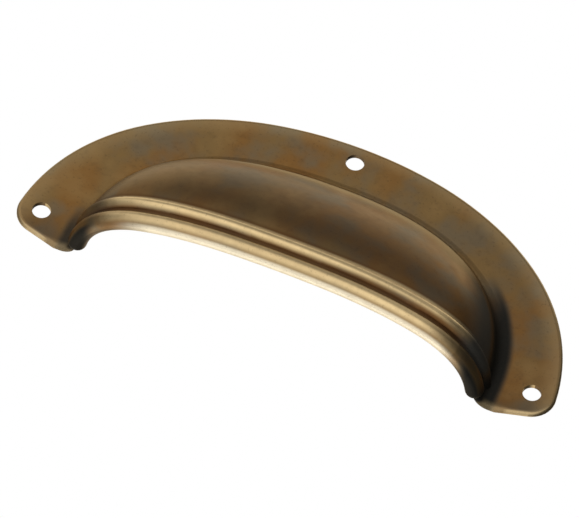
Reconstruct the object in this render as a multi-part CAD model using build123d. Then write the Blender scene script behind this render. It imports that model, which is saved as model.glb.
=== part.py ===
from build123d import *
from itertools import pairwise
import os

# Hooded cup pull for a drawer, pressed in one piece from sheet brass.
#
# Frame, in millimetres: the pull as it hangs on a drawer front. +X is to the right, +Z is up and
# +Y goes into the drawer. The flat back of the flange is the plane Y = 0, and the hood stands out
# towards -Y with its mouth down. The origin is midway between the two lower screw holes.

# Sheet
sheet = 0.9

# Screw holes
lower_hole_spacing = 88.9
top_hole_height = 31.0
screw_hole_diameter = 3.2

# Flange: an arch that springs from a rounded lobe at each end, with a softened front edge
lobe_margin = 4.35
top_margin = 3.5
flange_spring = -3.2
flange_fullness = 0.78
lobe_radius = 4.4
edge_round = 0.7

# Foot: the level at which the flange is trimmed below, at each side of the mouth
foot_level = -5.7

# Hood, measured on its outer face, and the band of flange that it leaves beside the holes
hood_end_band = 7.35
hood_top_band = 5.3
hood_projection = 20.2
hood_lean = 0.45
root_arch_spring = -3.3
root_arch_exponent = 2.26
plan_exponent = 2.6
root_radius = 1.9

# Lip: a half-round bead pressed round the mouth, and below it the mouth's edge rolled inwards
# into a tight round. The roll leaves this share of each quarter of the mouth bare at its back.
bead_radius = 1.4
bead_proud = 0.7
bead_to_brow = 0.15
bead_pitch = 3.1
roll_level = -5.0
roll_radius = 1.65
roll_start = 0.08

# Where the true arcs that follow each quarter of an arch meet, from its spring to its crown
arc_joints = (0.3, 0.6)

# How far a cutting form runs past the sheet, and how much flat the foot of the hood keeps
overrun = 4.0
foot_flat = 0.9

flange_half_width = lower_hole_spacing / 2 + lobe_margin
flange_top = top_hole_height + top_margin
hood_half_width = lower_hole_spacing / 2 - hood_end_band
hood_crown = top_hole_height - hood_top_band
bead_sunk = bead_radius - bead_proud
roll_sunk = roll_radius - bead_proud
bead_level = roll_level + bead_pitch
brow_level = bead_level + (bead_radius**2 - bead_sunk**2) ** 0.5 + bead_to_brow


def superellipse(share, exponent):
    """How wide a unit superellipse is at this share of its height."""
    return (1 - share**exponent) ** (1 / exponent)


def fullness(exponent):
    """The weight of a conic corner that passes through the shoulder of this superellipse."""
    shoulder = 0.5 ** (1 / exponent)
    return (shoulder - 0.5) / (1 - shoulder)


def arch(half_width, spring, crown, weight):
    """Two conic quarters from right to left, upright where they spring and level at the crown."""
    right = Bezier((half_width, spring), (half_width, crown), (0, crown), weights=[1, weight, 1])
    left = Bezier((0, crown), (-half_width, crown), (-half_width, spring), weights=[1, weight, 1])
    return right, left


def arcs_between(curve, near, far):
    """Two true arcs, with no kink, between two places along a curve."""
    chord = curve @ far - curve @ near
    lean = chord.dot(curve % near + curve % far)
    spread = 2 * (1 - (curve % near).dot(curve % far))
    reach = chord.length**2 / (lean + (lean**2 + spread * chord.length**2) ** 0.5)
    first_knee = curve @ near + curve % near * reach
    second_knee = curve @ far - curve % far * reach
    joint = (first_knee + second_knee) / 2
    first = TangentArc(curve @ near, joint, tangent=curve % near)
    return [first, TangentArc(joint, curve @ far, tangent=second_knee - first_knee)]


def arch_in_arcs(right, left, start):
    """An arch redrawn in true arcs from right to left, less this share of it at each spring."""
    arcs = []
    for near, far in pairwise((start, *arc_joints, 1)):
        arcs += arcs_between(right, near, far)
    for far, near in pairwise((1, *arc_joints[::-1], start)):
        arcs += arcs_between(left, 1 - far, 1 - near)
    return arcs


def flange_blank():
    """The flange as a flat plate, before the hood is raised in it."""
    foot = hood_half_width + root_radius + foot_flat
    right, left = arch(flange_half_width, flange_spring, flange_top, flange_fullness)
    bottom = Polyline(left @ 1, (-foot, foot_level), (foot, foot_level), right @ 0)
    outline = make_face([*arch_in_arcs(right, left, 0), bottom])
    corners = outline.vertices().sort_by(lambda corner: abs(corner.X))[-2:]
    return extrude(Plane.XZ * fillet(corners, lobe_radius), sheet)


def hood_section(half_width, centre, projection, level):
    """A level section of the hood: a full arch in plan, carried straight back past the sheet."""
    right, left = arch(half_width, -centre, -projection, fullness(plan_exponent))
    back = hood_lean * (hood_crown - brow_level) + overrun
    sides = Polyline(left @ 1, (-half_width, back), (half_width, back), right @ 0)
    return Plane.XY.offset(level) * make_face([right, left, sides])


def hood_form(inset):
    """The solid inside the hood's outer face, or inside a face set in from it.

    Upwards from the brow the projection falls as a parabola, while the centre of each section
    leans back through the flange, so that the hood runs out on a slope and no section comes to a
    point. Each section is as wide as makes it cross the root arch, one sheet behind the flange.
    """
    half_width = hood_half_width - inset
    projection = hood_projection - inset
    rise = hood_crown - 1.25 * inset - brow_level
    arch_rise = brow_level + rise * (1 + sheet / projection) ** 0.5 - root_arch_spring
    sections = []
    for share in (0, 0.18, 0.36, 0.53, 0.68, 0.8, 0.9, 0.98, 1.015):
        level = brow_level + share * rise
        out = projection * (1 - share**2)
        centre = -hood_lean * share * rise
        root = half_width * superellipse((level - root_arch_spring) / arch_rise, root_arch_exponent)
        cut = max(0, (-sheet - centre) / (out - centre))
        sections.append(hood_section(root / superellipse(cut, plan_exponent), centre, out, level))
    skirt = extrude(sections[0], brow_level - foot_level + overrun, dir=(0, 0, -1))
    return loft(sections) + skirt


def rod(radius, sunk, level, start):
    """A rod that follows the mouth, with its centre this far in from the hood's outer face.

    It runs from this share of the mouth's first quarter to the same place in its last. A rod that
    starts where the mouth does is carried straight back, past the sheet.
    """
    half_width = hood_half_width - sunk
    right, left = arch(half_width, 0, sunk - hood_projection, fullness(plan_exponent))
    line = arch_in_arcs(right, left, start)
    if start == 0:
        line.insert(0, Line((half_width, overrun), right @ 0))
        line.append(Line(left @ 1, (-half_width, overrun)))
    path = Plane.XY.offset(level) * Wire(line)
    return sweep(Plane(origin=path @ 0, z_dir=path % 0) * Circle(radius), path=path)


def roll():
    """The tight round along the mouth's edge, with rounded ends a little short of the flange."""
    form = rod(roll_radius, roll_sunk, roll_level, roll_start)
    for end in form.faces().filter_by(GeomType.PLANE):
        form += Pos(end.center()) * Sphere(roll_radius)
    return form


def root_edges(form, plane_y):
    """The edges where the hood's form meets the flat at this depth."""
    on_plane = form.edges().filter_by_position(Axis.Y, plane_y - 0.01, plane_y + 0.01)
    reach_x = hood_half_width + root_radius
    reach_z = hood_crown + root_radius
    return [
        edge
        for edge in on_plane
        if (edge.center().X / reach_x) ** 2 + (edge.center().Z / reach_z) ** 2 < 1
        and edge.center().Z > edge.bounding_box().min.Z + 0.01
    ]


def outer_form():
    """Everything in front of the flange's back above the roll, with the hood filled in."""
    form = flange_blank() + hood_form(0) - drawer_front() - under_foot()
    form = fillet(root_edges(form, -sheet), root_radius)
    front = form.faces().filter_by_position(Axis.Y, -sheet - 0.01, -sheet + 0.01)[0]
    foot = hood_half_width + root_radius
    reaches = [(edge, edge.bounding_box()) for edge in front.edges()]
    rim = [edge for edge, reach in reaches if max(reach.max.X, -reach.min.X) > foot]
    form = fillet(rim, min(edge_round, 0.8 * sheet))
    return form + rod(bead_radius, bead_sunk, bead_level, 0)


def inner_form():
    """Everything behind the sheet: the drawer front, and the hollow of the hood and its bead."""
    form = hood_form(sheet) + drawer_front()
    form = fillet(root_edges(form, 0), root_radius + sheet)
    return form + rod(bead_radius - sheet, bead_sunk, bead_level, 0)


def drawer_front():
    """The space behind the back of the flange."""
    size = 4 * flange_half_width
    return Pos(0, size / 2, 0) * Box(size, size, size)


def under_foot():
    """The space below the foot of the flange."""
    size = 4 * flange_half_width
    return Pos(0, 0, foot_level - size / 2) * Box(size, size, size)


def screw_holes():
    """The two holes in the lobes, and the one over the crown of the hood."""
    places = [(-lower_hole_spacing / 2, 0), (lower_hole_spacing / 2, 0), (0, top_hole_height)]
    hole = Rot(90, 0, 0) * Cylinder(screw_hole_diameter / 2, 2 * (sheet + overrun))
    return [Pos(x, 0, z) * hole for x, z in places]


cup_pull = outer_form() - inner_form() - screw_holes() + roll()

os.makedirs("parts", exist_ok=True)
export_step(cup_pull, "parts/cup_pull.step")
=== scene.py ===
import math

import bpy
import numpy as np
from bpy.props import FloatProperty, FloatVectorProperty, PointerProperty
from mathutils import Matrix, Vector

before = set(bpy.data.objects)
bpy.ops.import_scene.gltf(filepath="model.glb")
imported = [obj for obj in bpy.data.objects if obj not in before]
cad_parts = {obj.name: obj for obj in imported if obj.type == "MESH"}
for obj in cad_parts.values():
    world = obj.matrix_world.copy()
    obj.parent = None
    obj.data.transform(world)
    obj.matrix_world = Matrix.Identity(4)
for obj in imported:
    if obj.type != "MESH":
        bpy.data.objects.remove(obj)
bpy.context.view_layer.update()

bl_info = {
    "name": "Cup drawer pull",
    "version": (1, 0, 0),
    "blender": (4, 5, 0),
    "location": "View3D > Sidebar > Cup Pull",
    "description": "An aged brass finish for a pressed cup pull, and a small studio to show it in",
    "category": "Object",
}

PHOTO_WIDTH = 579
PHOTO_HEIGHT = 518
SENSOR_WIDTH = 36.0
FLOOR_SIDES = 64
MM = 0.001
WHITE = (1.0, 1.0, 1.0, 1.0)

# Features of the patina's noises to a metre, along x, y and z where they differ
DRIFT = (90.0, 150.0, 60.0)
BRUSHING = (260.0, 900.0, 2600.0)
MOTTLE = 700.0
SPECKS = 2600.0
FLOOR_PAINT = 3.0


class Value:
    """A number socket in a node tree. Arithmetic on it adds the Math nodes that work it out."""

    def __init__(self, nodes, socket):
        self.nodes = nodes
        self.socket = socket

    def math(self, operation, *others):
        inputs = dict(enumerate((self, *others)))
        return self.nodes.add("ShaderNodeMath", {"operation": operation}, inputs)["Value"]

    def __add__(self, other):
        return self.math("ADD", other)

    def __sub__(self, other):
        return self.math("SUBTRACT", other)

    def __mul__(self, other):
        return self.math("MULTIPLY", other)

    def __truediv__(self, other):
        return self.math("DIVIDE", other)

    def __pow__(self, other):
        return self.math("POWER", other)

    def __rsub__(self, other):
        return self * -1.0 + other

    def __abs__(self):
        return self.math("ABSOLUTE")

    __radd__ = __add__
    __rmul__ = __mul__

    def most(self, other):
        return self.math("MAXIMUM", other)

    def least(self, other):
        return self.math("MINIMUM", other)

    def smooth(self, none, full):
        """0 at none and before it, 1 at full and past it, and a smooth step between, either way."""
        settings = {"interpolation_type": "SMOOTHSTEP"}
        limits = {"Value": self, "From Min": none, "From Max": full}
        return self.nodes.add("ShaderNodeMapRange", settings, limits)["Result"]

    def near(self, level, full, none):
        """1 within full of the level, 0 beyond none of it, and a smooth step between."""
        return abs(self - level).smooth(none, full)


class Nodes:
    """The node tree of a material or a world, emptied, and filled by one method."""

    def __init__(self, owner):
        owner.use_nodes = True
        self.tree = owner.node_tree
        self.tree.nodes.clear()

    def add(self, kind, settings=None, inputs=None):
        """Adds a node, applies its settings, fills its sockets, and gives its outputs by name.

        A socket is named, or counted among the node's enabled ones where several share a name.
        """
        node = self.tree.nodes.new(kind)
        for name, value in (settings or {}).items():
            setattr(node, name, value)
        enabled = [socket for socket in node.inputs if socket.enabled]
        for name, value in (inputs or {}).items():
            socket = enabled[name] if isinstance(name, int) else node.inputs[name]
            if isinstance(value, Value):
                self.tree.links.new(value.socket, socket)
            else:
                socket.default_value = value
        return {socket.name: Value(self, socket) for socket in node.outputs if socket.enabled}

    def mix(self, share, first, second):
        """A colour that goes from the first to the second as the share goes from 0 to 1."""
        inputs = {"Factor": share, 1: first, 2: second}
        return self.add("ShaderNodeMix", {"data_type": "RGBA"}, inputs)["Result"]

    def noise(self, where, scale, detail=2.0, roughness=0.5):
        """Fractal noise from 0 to 1, at so many features in a metre."""
        inputs = {"Vector": where, "Scale": scale, "Detail": detail, "Roughness": roughness}
        return self.add("ShaderNodeTexNoise", {"noise_dimensions": "3D"}, inputs)["Fac"]

    def parts(self, vector):
        """The x, y and z of a vector."""
        return list(self.add("ShaderNodeSeparateXYZ", None, {"Vector": vector}).values())

    def stretched(self, where, factors):
        """A position whose axes are multiplied by these factors."""
        settings = {"operation": "MULTIPLY"}
        return self.add("ShaderNodeVectorMath", settings, {0: where, 1: factors})["Vector"]

    def dot(self, first, second):
        """The dot product of two vectors."""
        settings = {"operation": "DOT_PRODUCT"}
        return self.add("ShaderNodeVectorMath", settings, {0: first, 1: second})["Value"]


def opaque(colour, gain=1.0):
    """A property's colour, so many times as bright, in the form that a socket takes."""
    return (*[gain * part for part in colour], 1.0)


def length_property(name, description, default):
    return FloatProperty(name=name, description=description, default=default, unit="LENGTH")


def angle_property(name, description, default):
    return FloatProperty(name=name, description=description, default=default, subtype="ANGLE")


def number_property(name, description, default):
    return FloatProperty(name=name, description=description, default=default)


def share_property(name, description, default):
    return FloatProperty(name=name, description=description, default=default, min=0.0, max=1.0)


def light_property(name, description, default):
    return FloatProperty(name=name, description=description, default=default, min=0.0)


def colour_property(name, description, default):
    return FloatVectorProperty(
        name=name,
        description=description,
        default=default,
        size=3,
        min=0.0,
        max=1.0,
        subtype="COLOR",
    )


class AgedBrass(bpy.types.PropertyGroup):
    """The finish of the pressing, and the sizes of its form that the finish follows."""

    brown: colour_property("Brown", "Brass under an even brown patina", (0.245, 0.153, 0.06))
    reddish: colour_property("Reddish", "Patina where it has turned redder", (0.252, 0.124, 0.036))
    olive: colour_property("Olive", "Patina where it has turned greener", (0.195, 0.149, 0.09))
    # Colour of brass worn bright on ridges and rims, and of the painted highlight on the ridges and
    # the crest
    rubbed_and_highlit: colour_property("Rubbed", "Brass rubbed bright on ridges and rims", (0.74, 0.56, 0.3))
    # Painted reflection of white below, on the roll's underside
    painted_reflection: colour_property("Polished", "Brass worn bright under the lip", (0.9, 0.8, 0.6))
    # Painted shade inside the hood and on its lower part; also the dark mottle and specks
    dark: colour_property("Dark", "Patina inside and on the lower hood", (0.055, 0.036, 0.025))
    groove: colour_property("Groove", "Patina between bead and roll", (0.1, 0.046, 0.017))
    # Painted shade in black at the hood's ends, in the root's crease and under the roll's ends
    black: colour_property("Black", "Sooty patina at the two ends", (0.072, 0.07, 0.062))
    roughness: share_property("Roughness", "Roughness of the patina", 0.38)
    rubbed_roughness: share_property("Rubbed roughness", "Roughness of rubbed brass", 0.27)
    # Roughness where that painted shade in black lies
    black_roughness: share_property("Black roughness", "Roughness of the sooty patina", 0.62)
    crest_dullness: share_property("Crest dullness", "How much rougher the crest is", 0.3)
    edge_tint: colour_property("Edge tint", "Tint of what shows at a low slant", (0.88, 0.8, 0.68))
    hood_shade: share_property("Hood shade", "How dark the hood is at its brow", 0.6)
    blotch_size: length_property("Blotch size", "Width of a cloud in the patina", 9 * MM)
    roll_level: length_property("Roll level", "Level of the roll round the mouth", -5.0 * MM)
    bead_level: length_property("Bead level", "Level of the bead above the roll", -1.9 * MM)
    ridge_width: length_property("Ridge width", "Width of the line along a ridge", 1.9 * MM)
    brow_height: length_property("Brow height", "Level of the brow over the bead", -0.54 * MM)
    lit_half_width: length_property("Lit half width", "How far out bead and roll are lit", 30 * MM)
    sheet: length_property("Sheet", "Thickness of the sheet", 0.9 * MM)
    flange_half_width: length_property("Flange half width", "Half the flange's width", 48.8 * MM)
    flange_top: length_property("Flange top", "Level of the flange's crown", 34.5 * MM)
    flange_spring: length_property("Flange spring", "Level where its arch springs", -3.2 * MM)
    flange_foot: length_property("Flange foot", "Level of its straight lower edge", -5.7 * MM)
    root_half_width: length_property("Root half width", "Half the root's width", 39.0 * MM)
    root_top: length_property("Root top", "Level of the root over the crown", 27.6 * MM)
    root_exponent: number_property("Root exponent", "Exponent of the root's superellipse", 2.26)
    flange_fullness: number_property("Flange fullness", "Weight of the arch's conic", 0.78)


class Studio(bpy.types.PropertyGroup):
    """The floor, the light and the camera."""

    azimuth: angle_property("Azimuth", "How far right of the front the camera stands", 0.200)
    elevation: angle_property("Elevation", "How far above level the camera stands", -0.570)
    roll: angle_property("Roll", "How far the camera is turned about its line of sight", 0.465)
    distance: length_property("Distance", "From the camera to the pull", 2.0)
    photo_scale: number_property("Photo scale", "Pixels to a millimetre of the pull", 5.975)
    origin_across: number_property("Origin across", "Pixel column of the origin", 285.5)
    origin_down: number_property("Origin down", "Pixel row of the origin", 304.2)
    middle_depth: length_property("Middle depth", "Depth at which the scale holds", 2 * MM)
    floor_level: length_property("Floor level", "Level of the floor under the pull", -1.6)
    floor_radius: length_property("Floor radius", "Half the width of the round floor", 0.7)
    floor_left: length_property("Floor left", "How far left the floor's middle lies", 0.4)
    floor_behind: length_property("Floor behind", "How far behind its middle lies", 0.45)
    floor_colour: colour_property("Floor colour", "Paint of the floor", (0.8, 0.8, 0.8))
    paint_patch: colour_property("Paint patch", "Paint where the floor is darker", (0.7, 0.7, 0.7))
    front_light: light_property("Front light", "Strength of the soft light in front", 1.1)
    back_light: light_property("Back light", "Strength of the white behind the pull", 1.0)
    low_light: light_property("Low light", "Strength of the white below the pull", 1.2)
    top_light: light_property("Top light", "Strength of the light from the ceiling", 0.38)
    left_light: light_property("Left light", "Strength of the light from the left", 0.18)
    room_light: light_property("Room light", "Strength of the rest of the room", 0.06)


class Pressing:
    """Where a place lies on the pressing, as sockets that the masks are worked out from.

    A place is outside where the dot product of its normal and its position is positive, because
    the outside's normals lead away from the middle of the back. It is on the hood where it stands
    well out from the flange. With a and b the shares of the root's half width and rise, each raised
    to the root's exponent, a + b is 1 on the root, less inside it and more beyond it. The tips are
    placed, not worked out: they lie past the half width that is lit in one view of a real pull.
    """

    def __init__(self, nodes, finish):
        coordinates = nodes.add("ShaderNodeTexCoord")
        self.place = coordinates["Object"]
        self.x, self.y, self.z = nodes.parts(self.place)
        facing = coordinates["Normal"]
        self.frontwards = nodes.parts(facing)[1] * -1.0
        self.outside = nodes.dot(facing, self.place).smooth(0.0, 0.6 * finish.sheet)
        self.hood = self.y.smooth(-3.0 * finish.sheet, -8.0 * finish.sheet) * self.outside
        self.flange = (1.0 - self.hood) * self.outside
        self.width = abs(self.x)
        self.height = self.z - finish.flange_spring
        rise = finish.root_top - finish.flange_spring
        across = (self.width / finish.root_half_width) ** finish.root_exponent
        up = (self.height / rise).most(0.0) ** finish.root_exponent
        self.root = across + up
        self.tips = self.width.smooth(finish.lit_half_width, 1.14 * finish.lit_half_width)


def worn_and_highlit_ridges(pull, finish):
    """Bands along the bead and the roll, each 1 near its level and fading above and below.

    The bands follow the form: brass worn bright along the ridges, with a painted highlight in them.
    These are placed to match one view of a real pull: the bead's bright line, which lies above its
    middle and higher to the right, and how bright each band is from left to right.
    """
    half = finish.ridge_width / 2
    lit = finish.lit_half_width
    core = 0.6 * half
    rightwards = pull.x.smooth(0.0, 0.7 * lit)
    line = finish.bead_level + 0.25 * MM + 0.3 * MM * rightwards
    bead = pull.z.near(line, core, 1.55 * half) * (1.0 - 0.06 * rightwards)
    roll = pull.z.near(finish.roll_level, core, 1.65 * half) * (0.82 + 0.18 * rightwards)
    right_end = 0.5 * pull.x.smooth(0.8 * lit, 1.05 * lit)
    return bead.most(roll * (1.0 - right_end)) * pull.hood * (1.0 - pull.tips)


def underside_reflection_mask(pull, finish):
    """Painted reflection of white below, 1 on the roll's underside towards its front; how far it
    reaches to each side is placed.
    """
    lit = finish.lit_half_width
    below = pull.z.smooth(finish.roll_level - 1.15 * MM, finish.roll_level - 1.55 * MM)
    fore = pull.y.smooth(-6.0 * MM, -14.0 * MM)
    left = pull.x.smooth(-1.02 * lit, -0.72 * lit)
    right = pull.x.smooth(1.12 * lit, 0.95 * lit)
    return below * fore * left * right


def rubbed_rim(pull, finish):
    """1 where the flange's edge turns away from the front, and less in a margin along its outline.

    With u and v the shares of the flange's half width and rise, its outline is the conic of weight
    w on which (u + v - 1)^2 = 4 w^2 (1 - u) (1 - v). The second part of that equation less the
    first falls to 0 at the outline, and the margin fades in as it does. Another follows the foot.
    """
    u = pull.width / finish.flange_half_width
    v = (pull.height / (finish.flange_top - finish.flange_spring)).most(0.0)
    corner = u + v - 1.0
    within = (1.0 - u) * (1.0 - v) * (4.0 * finish.flange_fullness**2) - corner * corner
    arch = within.smooth(0.2, 0.0)
    foot = (pull.z - finish.flange_foot).smooth(1.6 * MM, 0.4 * MM)
    margin = 0.4 * arch.most(foot)
    turned = pull.frontwards.smooth(0.995, 0.8) * pull.root.smooth(1.08, 1.2)
    flat = pull.y.smooth(-1.8 * finish.sheet, -1.05 * finish.sheet)
    return margin.most(turned) * flat * pull.outside


def dark_grooves(pull, finish):
    """1 in the groove midway between bead and roll, and less along the brow over the bead."""
    half = finish.ridge_width / 2
    middle = (finish.bead_level + finish.roll_level) / 2
    groove = pull.z.near(middle, 0.3 * half, 0.9 * half)
    brow = 0.7 * pull.z.near(finish.brow_height, 0.2 * half, 1.1 * half)
    return groove.most(brow) * pull.hood


def painted_crest_highlight(pull, finish):
    """Painted highlight, 1 along the hood's upper slope; its depth, height and width are placed to
    match one view.
    """
    lit = finish.lit_half_width
    slope = pull.y.smooth(-12.0 * MM, -4.0 * MM) * pull.y.smooth(-1.2 * MM, -2.4 * MM)
    high = pull.z.smooth(3.0 * MM, 12.0 * MM)
    middle = pull.x.smooth(-lit, -0.4 * lit) * pull.x.smooth(lit, 0.8 * lit)
    return slope * high * middle * pull.outside


def dark_shade(pull, finish):
    """How dark the lower hood, the flange's foot and its right side are.

    The hood's painted shade deepens as it stands out, and a little less by the lip. The flange is
    darker down towards its foot, and with x + z / 2 towards the right. All of it is placed to match
    one view.
    """
    by_the_lip = 0.15 * pull.z.smooth(3.0 * MM, 0.0)
    low = pull.y.smooth(-8.0 * MM, -18.5 * MM) * pull.hood * (finish.hood_shade - by_the_lip)
    foot = 0.4 * pull.z.smooth(3.0 * MM, -5.0 * MM)
    right = 0.24 * (pull.x + 0.5 * pull.z).smooth(10.0 * MM, 52.0 * MM)
    return low.most(foot.most(right) * pull.flange)


def painted_root_shade(pull, finish):
    """Painted shade, 1 at the root, on its right and low on its left; how far in is placed to match
    one view.
    """
    lit = finish.lit_half_width
    right = pull.x.smooth(0.95 * lit, 1.17 * lit)
    low_left = pull.x.smooth(-1.15 * lit, -1.25 * lit) * pull.z.smooth(6.0 * MM, -2.0 * MM)
    return pull.root.smooth(1.07, 0.98) * right.most(0.7 * low_left) * pull.flange


def painted_underside_shade(pull, finish):
    """Painted shade, 1 on the roll's underside at its two ends; how far in they begin is placed."""
    lit = finish.lit_half_width
    below = pull.z.smooth(finish.roll_level - 0.8 * MM, finish.roll_level - 1.4 * MM)
    ends = pull.width.smooth(1.08 * lit, 1.16 * lit)
    return below * ends * pull.y.smooth(-0.9 * finish.sheet, -2.0 * finish.sheet)


def painted_end_shade(pull, finish):
    """Painted shade in black, 1 at the hood's two ends above the roll, and less to the left, as
    placed to match one view.

    At the right it starts further left higher up, where x + 0.35 z passes the lit half width. Past
    that width it takes in the bead too, up to the brow.
    """
    lit = finish.lit_half_width
    above = pull.z.smooth(finish.roll_level + 0.8 * MM, finish.roll_level + 1.6 * MM)
    right = (pull.x + 0.35 * pull.z.most(0.0)).smooth(1.01 * lit, 1.17 * lit)
    left = pull.x.smooth(-1.1 * lit, -1.22 * lit)
    lip = pull.tips * (pull.z - finish.brow_height).smooth(finish.ridge_width, 0.0)
    strength = 0.3 + 0.7 * pull.x.smooth(-lit, lit)
    return right.most(left).most(lip) * above * pull.hood * strength


def aged_brass(finish):
    """Sheet brass under a cloudy brown patina, worn bright on its ridges and dark in its grooves,
    with painted light and shade.

    Brown drifts to reddish with a broad noise, and turns olive where the clouds are thick and light
    where they are thin. A dark mottle and painted shade lie over it, then the groove's patina and
    painted shade in black, then worn brass with painted highlight on ridges and crest, and a painted
    reflection under the roll.
    those. A finer mottle, specks and brushing that runs from side to side give the bump.
    """
    material = bpy.data.materials.new("aged_brass")
    nodes = Nodes(material)
    pull = Pressing(nodes, finish)
    ridges = worn_and_highlit_ridges(pull, finish)
    underside = underside_reflection_mask(pull, finish)
    rim = rubbed_rim(pull, finish)
    crest = painted_crest_highlight(pull, finish)
    # Painted shade at the root and under the roll's ends, and with the hood's ends as well
    root_and_underside_shade = painted_root_shade(pull, finish).most(painted_underside_shade(pull, finish))
    black = painted_end_shade(pull, finish).most(root_and_underside_shade)
    # Inner faces, which take painted shade, apart from the underside's painted reflection
    inside = (1.0 - pull.outside) * (1.0 - underside)

    clouds = nodes.noise(pull.place, 1.0 / finish.blotch_size, 3.0, 0.55)
    drift = nodes.noise(nodes.stretched(pull.place, DRIFT), 1.0)
    mottle = nodes.noise(pull.place, MOTTLE, 3.0, 0.6)
    brushing = nodes.noise(nodes.stretched(pull.place, BRUSHING), 1.0)
    specks = nodes.noise(pull.place, SPECKS)

    # Worn brass on ridges and rims, with the painted highlight of the ridges and the crest
    rubbed_and_highlit = (ridges * (0.7 + 0.5 * mottle)).most(rim * (0.25 + 0.45 * clouds)).least(1.0)
    # The crest's painted highlight
    rubbed_and_highlit = rubbed_and_highlit.most(crest * (0.55 + 0.35 * clouds))
    # Painted reflection of white below, under the roll
    painted_reflection = underside * (0.7 + 0.4 * mottle)
    # Painted shade on the lower hood and inside; darker towards the flange's foot and right side
    shade = dark_shade(pull, finish) * (0.65 + 0.7 * clouds)
    shade = shade.most(0.55 * inside).least(1.0)

    dark = opaque(finish.dark)
    thick_clouds = 0.9 * clouds.smooth(0.45, 0.68)
    thin_clouds = 0.5 * clouds.smooth(0.5, 0.3)
    dark_mottle = 0.2 * mottle.smooth(0.5, 0.8)
    dark_specks = 0.25 * specks.smooth(0.62, 0.72)
    reddened = 0.9 * drift.smooth(0.38, 0.62)
    colour = nodes.mix(reddened, opaque(finish.brown), opaque(finish.reddish))
    colour = nodes.mix(thick_clouds, colour, opaque(finish.olive))
    colour = nodes.mix(thin_clouds, colour, opaque(finish.brown, 1.35))
    colour = nodes.mix(dark_mottle, colour, dark)
    colour = nodes.mix(shade, colour, dark)
    colour = nodes.mix(0.85 * dark_grooves(pull, finish), colour, opaque(finish.groove))
    # Painted shade in black at the ends, the root's crease and under the roll's ends
    colour = nodes.mix(black * (0.85 + 0.3 * clouds), colour, opaque(finish.black))
    colour = nodes.mix(0.75 * root_and_underside_shade, colour, opaque(finish.black, 0.1))
    # Worn brass and painted highlight
    colour = nodes.mix(rubbed_and_highlit, colour, opaque(finish.rubbed_and_highlit))
    # Painted reflection under the roll
    colour = nodes.mix(painted_reflection, colour, opaque(finish.painted_reflection))
    colour = nodes.mix(dark_specks, colour, dark)

    roughness = finish.roughness + 0.1 * (mottle - 0.5) + 0.06 * shade
    roughness = roughness + rubbed_and_highlit * (finish.rubbed_roughness - finish.roughness)
    roughness = roughness + black * (finish.black_roughness - finish.roughness)
    roughness = roughness + crest * finish.crest_dullness
    relief = 0.4 * brushing + 0.9 * mottle + 0.4 * specks
    relief_inputs = {"Strength": 0.1, "Distance": 0.05 * MM, "Height": relief}
    surface = {
        "Base Color": colour,
        "Metallic": 1.0,
        "Specular Tint": opaque(finish.edge_tint),
        "Roughness": roughness,
        "Normal": nodes.add("ShaderNodeBump", None, relief_inputs)["Normal"],
    }
    shader = nodes.add("ShaderNodeBsdfPrincipled", None, surface)["BSDF"]
    nodes.add("ShaderNodeOutputMaterial", None, {"Surface": shader})
    return material


def pale_floor(studio):
    """A plain matt floor, a little uneven in its paint.

    The camera and the metal see it as white, but for the small share that keeps a shadow.
    """
    material = bpy.data.materials.new("pale_floor")
    nodes = Nodes(material)
    place = nodes.add("ShaderNodeTexCoord")["Object"]
    patches = 0.05 * nodes.noise(place, FLOOR_PAINT)
    paint = nodes.mix(patches, opaque(studio.floor_colour), opaque(studio.paint_patch))
    matt = {"Base Color": paint, "Roughness": 0.8}
    floor = nodes.add("ShaderNodeBsdfPrincipled", None, matt)["BSDF"]
    white = nodes.add("ShaderNodeEmission", None, {"Color": WHITE, "Strength": 1.0})["Emission"]
    path = nodes.add("ShaderNodeLightPath")
    seen = 0.95 * path["Is Camera Ray"].most(path["Is Glossy Ray"])
    both = nodes.add("ShaderNodeMixShader", None, {0: seen, 1: floor, 2: white})["Shader"]
    nodes.add("ShaderNodeOutputMaterial", None, {"Surface": both})
    return material


def room(studio):
    """A white backdrop for the camera, and for the pull the soft light of a room.

    Each light fades by smooth steps of the direction's own components. A wide one in front reaches
    a little above and below the pull's level. There is white behind the pull's left and below it, a
    dim ceiling, and a dimmer wall on the left. The right side is dark in the metal, to match one
    view of a real pull, though the camera sees white there.
    """
    world = bpy.context.scene.world or bpy.data.worlds.new("room")
    bpy.context.scene.world = world
    nodes = Nodes(world)
    x, y, z = nodes.parts(nodes.add("ShaderNodeTexCoord")["Generated"])
    front = (z + 0.2 * x).smooth(0.62, 0.28) * x.smooth(0.9, 0.5) * x.smooth(-1.1, -0.6)
    front = front * y.smooth(0.1, -0.2) * studio.front_light
    back = y.smooth(-0.35, 0.0) * x.smooth(0.45, 0.2) * x.smooth(-0.9, -0.4) * studio.back_light
    top = z.smooth(0.3, 0.7) * (x + 0.45 * y).smooth(0.56, 0.22) * studio.top_light
    top = top * (0.9 + 0.6 * x.most(-0.2))
    low = z.smooth(-0.5, -0.8) * x.smooth(0.3, 0.0) * x.smooth(-0.75, -0.4) * studio.low_light
    left = x.smooth(-0.5, -0.8) * studio.left_light
    light = front.most(low).most(left) + back.most(top) + studio.room_light
    warm = {"Color": (1.0, 0.985, 0.96, 1.0), "Strength": light}
    soft = nodes.add("ShaderNodeBackground", None, warm)["Background"]
    white = {"Color": WHITE, "Strength": 1.0}
    backdrop = nodes.add("ShaderNodeBackground", None, white)["Background"]
    seen = nodes.add("ShaderNodeLightPath")["Is Camera Ray"]
    both = nodes.add("ShaderNodeMixShader", None, {0: seen, 1: soft, 2: backdrop})["Shader"]
    nodes.add("ShaderNodeOutputWorld", None, {"Surface": both})


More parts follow.
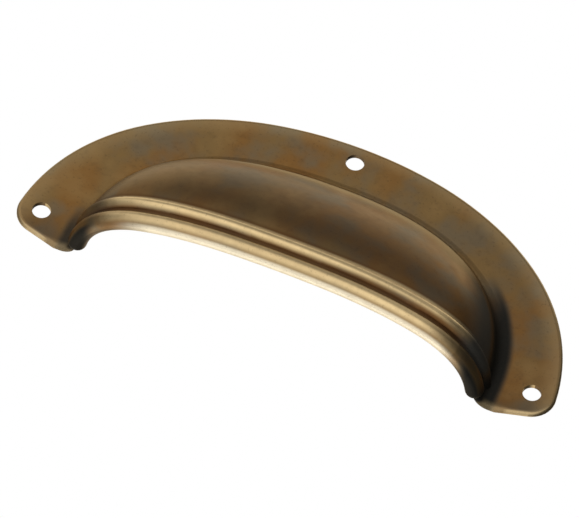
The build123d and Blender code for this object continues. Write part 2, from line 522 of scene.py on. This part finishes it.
def camera(studio):
    """A long lens at the photograph's angle, scaled and aimed so that the pull lies as it does in it.

    The lens's length over its sensor's width is the distance over the width that the photograph
    takes in. The camera aims past the pull by as much as the origin lies off the picture's middle.
    """
    a = studio.azimuth
    e = studio.elevation
    back = Vector((math.sin(a) * math.cos(e), -math.cos(a) * math.cos(e), math.sin(e)))
    level = Vector((math.cos(a), math.sin(a), 0.0))
    upright = back.cross(level)
    right = math.cos(studio.roll) * level + math.sin(studio.roll) * upright
    up = back.cross(right)
    across = (PHOTO_WIDTH / 2 - studio.origin_across) / studio.photo_scale * MM
    rise = (studio.origin_down - PHOTO_HEIGHT / 2) / studio.photo_scale * MM
    middle = across * right + rise * up + studio.middle_depth * back
    lens = bpy.data.cameras.new("camera")
    lens.sensor_width = SENSOR_WIDTH
    lens.sensor_fit = "HORIZONTAL"
    lens.lens = SENSOR_WIDTH * studio.distance * studio.photo_scale / (PHOTO_WIDTH * MM)
    lens.clip_start = 0.01
    lens.clip_end = 100.0
    viewer = bpy.data.objects.new("camera", lens)
    turn = Matrix((right, up, back)).transposed().to_4x4()
    viewer.matrix_world = Matrix.Translation(middle + studio.distance * back) @ turn
    bpy.context.scene.collection.objects.link(viewer)
    bpy.context.scene.camera = viewer


class DressCupPull(bpy.types.Operator):
    """Gives the pressed cup pull its aged brass"""

    bl_idname = "cup_pull.dress"
    bl_label = "Aged brass"

    def execute(self, context):
        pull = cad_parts["cup_pull"]
        pull.data.materials.clear()
        pull.data.materials.append(aged_brass(context.scene.aged_brass))
        return {"FINISHED"}


class SetStudio(bpy.types.Operator):
    """Lays the round floor, lights the room and places the camera"""

    bl_idname = "cup_pull.studio"
    bl_label = "Studio"

    def execute(self, context):
        studio = context.scene.studio
        turn = np.linspace(0.0, 2 * np.pi, FLOOR_SIDES, endpoint=False)
        across = studio.floor_radius * np.cos(turn) - studio.floor_left
        along = studio.floor_radius * np.sin(turn) + studio.floor_behind
        edge = np.stack((across, along, np.full_like(turn, studio.floor_level)), axis=1)
        mesh = bpy.data.meshes.new("floor")
        mesh.from_pydata(edge, [], [range(FLOOR_SIDES)])
        mesh.materials.append(pale_floor(studio))
        floor = bpy.data.objects.new("floor", mesh)
        context.scene.collection.objects.link(floor)
        room(studio)
        camera(studio)
        context.scene.view_settings.view_transform = "Standard"
        return {"FINISHED"}


class CupPullPanel(bpy.types.Panel):
    """The pull's finish and studio in the sidebar"""

    bl_label = "Cup pull"
    bl_idname = "VIEW3D_PT_cup_pull"
    bl_space_type = "VIEW_3D"
    bl_region_type = "UI"
    bl_category = "Cup Pull"

    def draw(self, context):
        scene = context.scene
        for group, operator in ((scene.aged_brass, DressCupPull), (scene.studio, SetStudio)):
            box = self.layout.box()
            for name in group.bl_rna.properties.keys():
                if name not in ("rna_type", "name"):
                    box.prop(group, name)
            box.operator(operator.bl_idname)


CLASSES = (AgedBrass, Studio, DressCupPull, SetStudio, CupPullPanel)


def register():
    for cls in CLASSES:
        bpy.utils.register_class(cls)
    bpy.types.Scene.aged_brass = PointerProperty(type=AgedBrass)
    bpy.types.Scene.studio = PointerProperty(type=Studio)


def unregister():
    del bpy.types.Scene.studio
    del bpy.types.Scene.aged_brass
    for cls in reversed(CLASSES):
        bpy.utils.unregister_class(cls)


def main():
    register()
    bpy.ops.cup_pull.dress()
    bpy.ops.cup_pull.studio()


if __name__ == "__main__":
    main()
